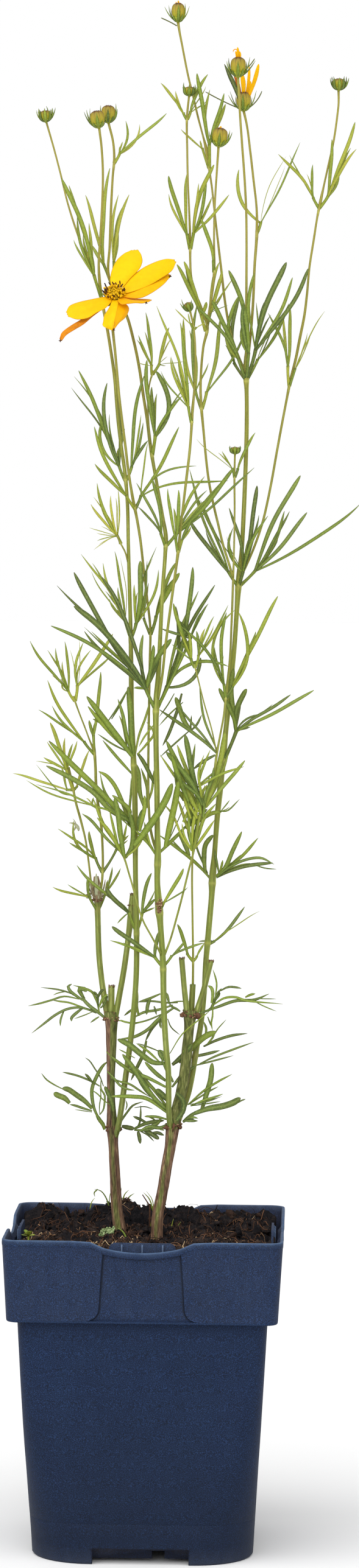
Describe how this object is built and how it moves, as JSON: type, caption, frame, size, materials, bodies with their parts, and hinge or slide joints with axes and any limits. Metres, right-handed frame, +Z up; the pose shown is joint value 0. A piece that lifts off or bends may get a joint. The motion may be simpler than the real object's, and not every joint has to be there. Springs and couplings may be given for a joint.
{
  "type": "potted coreopsis",
  "caption": "Tall young coreopsis with narrow threadlike leaves, round flower buds and an open yellow daisy flower, growing in a square plastic nursery pot.",
  "frame": {"origin": "centre of the pot's base, on the surface that it stands on", "axes": "+Z up along the pot's axis, -Y the side of the pot that the camera sees, +X to the right seen from there"},
  "size_m": [0.1389, 0.11, 0.6176],
  "materials": {
    "pot_plastic": "dark blue, fine matte grain",
    "peat": "moist fibrous peat compost",
    "cane_bark": "brown to tan bark with a green streak",
    "green_stem": "smooth green stem",
    "leaf": "satin leaf",
    "flower_bud": "satin, green and golden",
    "petal": "satin yellow petal",
    "flower_disc": "velvety orange-yellow florets"
  },
  "bodies": {
    "root": {"bud_centre": "flower_bud", "bud_far_left": "flower_bud", "bud_far_right": "flower_bud", "bud_pair_left": "flower_bud", "bud_pair_right": "flower_bud", "bud_small_low": "flower_bud", "bud_small_middle": "flower_bud", "bud_small_top": "flower_bud", "bud_top": "flower_bud", "bud_yellow_tip": "flower_bud", "cane_left": "cane_bark", "cane_right": "cane_bark", "flower_disc": "flower_disc", "flower_opening": "flower_bud", "flower_petals": "petal", "leaf_a1": "leaf", "leaf_a2": "leaf", "leaf_b1": "leaf", "leaf_b2": "leaf", "leaf_c1": "leaf", "leaf_c2": "leaf", "leaf_c3": "leaf", "leaf_c4": "leaf", "leaf_c5": "leaf", "leaf_c6": "leaf", "leaf_d1": "leaf", "leaf_d3": "leaf", "leaf_d4": "leaf", "leaf_d5": "leaf", "leaf_d6": "leaf", "leaf_d7": "leaf", "leaf_e1": "leaf", "leaf_e3": "leaf", "leaf_e4": "leaf", "leaf_e5": "leaf", "leaf_e6": "leaf", "leaf_g1": "leaf", "leaf_j1": "leaf", "leaf_k1": "leaf", "leaf_l1": "leaf", "leaf_m1": "leaf", "leaf_m4": "leaf", "leaf_p1": "leaf", "leaf_q1": "leaf", "leaf_r1": "leaf", "leaf_s0": "leaf", "leaf_s1": "leaf", "leaf_u2": "leaf", "leaf_v1": "leaf", "leaf_v2": "leaf", "leaf_w1": "leaf", "leaf_x1": "leaf", "leaf_y1": "leaf", "leaf_z1": "leaf", "pot": "pot_plastic", "seedling": "leaf", "shoot_left": "green_stem", "shoot_middle": "green_stem", "shoot_right": "green_stem", "soil": "peat"}
  },
  "joints": []
}
